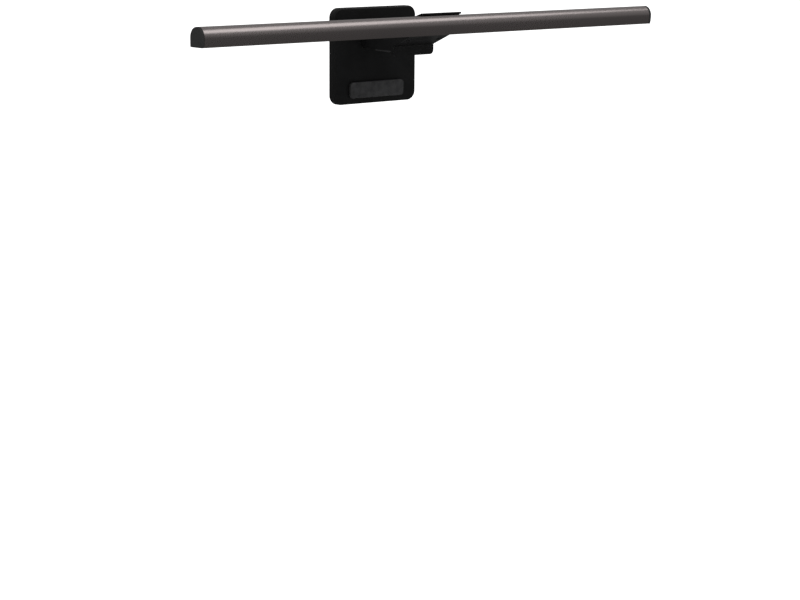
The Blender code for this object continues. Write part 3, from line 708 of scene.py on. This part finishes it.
def make_front_shell():
    """The tray of the rear unit, with a rounded front rim, hinge lugs, posts and holes."""
    seam = PANEL_FRONT + PANEL_THICK - PANEL_WALL
    floor = PANEL_FRONT + PANEL_WALL
    rings = [(PANEL_WALL, floor), (PANEL_WALL, seam - GAP), (0.0, seam - GAP)]
    rings += rounded_rim(1.7, PANEL_FRONT, -1)
    bm = bmesh.new()
    loft(bm, [along_y(panel_outline(inset), y) for inset, y in rings])
    shell = to_object("rear_front_shell_finished", bm, REAR_AXIS)

    lugs = bmesh.new()
    for side in (-1, 1):
        outline = arc((0, 0), BARREL_RADIUS, 90, 270, 28)
        outline += [(PANEL_FRONT + 0.5, -BARREL_RADIUS), (PANEL_FRONT + 0.5, BARREL_RADIUS)]
        prism(lugs, outline, *sorted((side * LUG_INNER, side * LUG_OUTER)))
    carve(shell, lugs, REAR_AXIS, "UNION")

    posts = bmesh.new()
    holes = bmesh.new()
    for x, z in corner_screws():
        upright(posts, circle((x, z), 2.8, 28), floor - 0.5, seam - 1.0)
        upright(holes, circle((x, z), 1.4, 20), floor + 0.3, seam + 1.0)
    for side in (-1, 1):
        upright(posts, circle((side * WEIGHT_SCREW[0], WEIGHT_SCREW[1]), 2.4, 24), floor - 0.5, floor + 1.8)
        upright(holes, circle((side * WEIGHT_SCREW[0], WEIGHT_SCREW[1]), 1.4, 20), floor - 0.6, floor + 5.0)
        bore_ends = sorted((side * (LUG_INNER - 1), side * (LUG_OUTER + 1)))
        prism(holes, circle((0, 0), BORE_RADIUS, 24), *bore_ends)
    box(holes, -1.5, 1.5, PANEL_FRONT - 1, floor + 1, -2.2, 1.5)
    box(holes, -5.1, 5.1, 7.6, seam + 1, PANEL_BOTTOM - 1, PANEL_BOTTOM + 3)
    carve(shell, posts, REAR_AXIS, "UNION")
    carve(shell, holes, REAR_AXIS)
    soften(shell, 0.25, 2, 32.0)
    finish_piece(shell, "rear_unit", "clip_plastic", "rear_front_shell")


def make_back_cover():
    back = PANEL_FRONT + PANEL_THICK
    seam = back - PANEL_WALL
    rings = [(0.0, seam)] + rounded_rim(1.2, back, 1)
    bm = bmesh.new()
    loft(bm, [along_y(panel_outline(inset), y) for inset, y in rings])
    cover = to_object("rear_back_cover_finished", bm, REAR_AXIS)
    holes = bmesh.new()
    upright(holes, rounded_box(-30, 30, -10, 24, 5.0, 12), seam - 1, back + 1)
    for x, z in corner_screws():
        upright(holes, circle((x, z), 2.5, 28), seam + 0.6, back + 1)
        upright(holes, circle((x, z), 1.4, 20), seam - 1, seam + 0.6)
    carve(cover, holes, REAR_AXIS)
    soften(cover, 0.2, 2, 32.0)
    finish_piece(cover, "rear_unit", "clip_plastic", "rear_back_cover")


def make_back_light():
    """The opal window of the back light, crowned a little proud of a flat sheet."""
    top = PANEL_FRONT + PANEL_THICK
    bm = bmesh.new()
    upright(bm, rounded_box(-32, 32, -12, 26, 6.0, 12), top - 2.7, top - 1.9)
    diffuser = to_object("back_light_diffuser_finished", bm, REAR_AXIS)
    raised = bmesh.new()
    rings = [(0.0, top - 2.2), (0.0, top - 0.7), (0.15, top - 0.35), (0.5, top - 0.2)]
    outlines = []
    for inset, y in rings:
        outline = rounded_box(-29.7 + inset, 29.7 - inset, -9.7 + inset, 23.7 - inset, 4.7 - inset, 12)
        outlines.append(along_y(outline, y))
    loft(raised, outlines)
    carve(diffuser, raised, REAR_AXIS, "UNION")
    diffuser.data.shade_smooth()
    diffuser.data.set_sharp_from_angle(angle=math.radians(40))
    finish_piece(diffuser, "rear_unit", "diffuser", "back_light_diffuser")


def make_back_pad():
    """A plain silicone pad with soft edges."""
    bm = bmesh.new()
    upright(bm, rounded_box(-30, 30, -48, -34, 3.0, 10), PANEL_FRONT - 3.0, PANEL_FRONT - GAP)
    pad = to_object("back_pad_finished", bm, REAR_AXIS)
    soften(pad, 0.3, 3)
    finish_piece(pad, "rear_unit", "silicone", "back_pad")


# ---- carried-over pieces --------------------------------------------------------------


def dress_cad_nodes():
    """Give each CAD node its slot's finish."""
    slots = {part["node"]: part["material_slot"] for part in frame["record"]["subparts"]}
    for name, item in frame["nodes"].items():
        look = SLOT_LOOKS[slots[name]]
        if not item.material_slots:
            item.data.materials.append(look)
        for holder in item.material_slots:
            holder.material = look


# ---- studio ---------------------------------------------------------------------------


def make_world():
    """A soft gradient, dark at the horizon and below, brighter overhead."""
    world = bpy.data.worlds.new("studio")
    bpy.context.scene.world = world
    world.use_nodes = True
    nodes, links = world.node_tree.nodes, world.node_tree.links
    background = nodes["Background"]
    coordinates = nodes.new("ShaderNodeTexCoord")
    split = nodes.new("ShaderNodeSeparateXYZ")
    ramp = nodes.new("ShaderNodeValToRGB")
    half_range = nodes.new("ShaderNodeMapRange")
    half_range.inputs["From Min"].default_value = -1.0
    half_range.inputs["From Max"].default_value = 1.0
    stops = [(0.0, 0.12), (0.5, 0.13), (0.60, 0.28), (0.80, 0.38), (1.0, 0.45)]
    elements = ramp.color_ramp.elements
    while len(elements) < len(stops):
        elements.new(0.5)
    for element, (place, level) in zip(elements, stops):
        element.position = place
        element.color = (level, level, level, 1.0)
    links.new(coordinates.outputs["Generated"], split.inputs["Vector"])
    links.new(split.outputs["Z"], half_range.inputs["Value"])
    links.new(half_range.outputs["Result"], ramp.inputs["Fac"])
    links.new(ramp.outputs["Color"], background.inputs["Color"])
    background.inputs["Strength"].default_value = 1.0


def make_light(name, place, target, size, power):
    data = bpy.data.lights.new(name, "AREA")
    data.shape = "RECTANGLE"
    data.size, data.size_y = size
    data.energy = power
    light = bpy.data.objects.new(name, data)
    bpy.context.collection.objects.link(light)
    light.location = place
    aim = Vector(target) - Vector(place)
    light.rotation_euler = aim.to_track_quat("-Z", "Y").to_euler()


def make_floor():
    bm = bmesh.new()
    bmesh.ops.create_grid(bm, x_segments=8, y_segments=8, size=40.0)
    mesh = bpy.data.meshes.new("floor")
    bm.to_mesh(mesh)
    bm.free()
    floor = bpy.data.objects.new("floor", mesh)
    bpy.context.collection.objects.link(floor)
    floor.location = (0, 20, FLOOR_Z)
    finish = Finish("pale_floor", (0.9, 0.9, 0.9), 0.9, 0.0, 0.1)
    finish.tint(finish.noise(0.4), (0.89, 0.89, 0.89), (0.91, 0.91, 0.91))
    finish.shader.inputs["Emission Color"].default_value = (1.0, 1.0, 1.0, 1.0)
    finish.shader.inputs["Emission Strength"].default_value = 1.0
    mesh.materials.append(finish.material)
    floor.visible_glossy = False


def make_camera():
    heading, pitch, roll = (math.radians(a) for a in (CAMERA_HEADING, CAMERA_PITCH, CAMERA_ROLL))
    level_part = math.cos(pitch)
    ahead = (level_part * math.sin(heading), level_part * math.cos(heading), math.sin(pitch))
    ahead = Vector(ahead)
    level = Vector((math.cos(heading), -math.sin(heading), 0.0))
    up = level.cross(ahead)
    right = level * math.cos(roll) + up * math.sin(roll)
    up = right.cross(ahead)
    data = bpy.data.cameras.new("camera")
    data.lens = CAMERA_LENS
    data.sensor_width = 36.0
    camera = bpy.data.objects.new("camera", data)
    bpy.context.collection.objects.link(camera)
    turn = Matrix((right, up, -ahead)).transposed().to_4x4()
    camera.matrix_world = Matrix.Translation(CAMERA_PLACE) @ turn
    bpy.context.scene.camera = camera


def make_studio():
    make_world()
    make_floor()
    make_camera()
    make_light("long_softbox", (0.75, -0.70, 1.20), (0, -0.056, 0.024), (1.3, 0.66), 4.2)
    make_light("front_fill", (-1.2, -0.9, 0.5), (0, 0, 0.0), (0.8, 0.8), 1.5)
    bpy.context.scene.view_settings.view_transform = "Standard"


dress_cad_nodes()
make_bar_shell()
make_end_cap(-1, "left")
make_end_cap(1, "right")
make_diffuser()
make_clip_base()
make_clip_cover()
make_pads()
make_front_shell()
make_back_cover()
make_back_light()
make_back_pad()
make_studio()
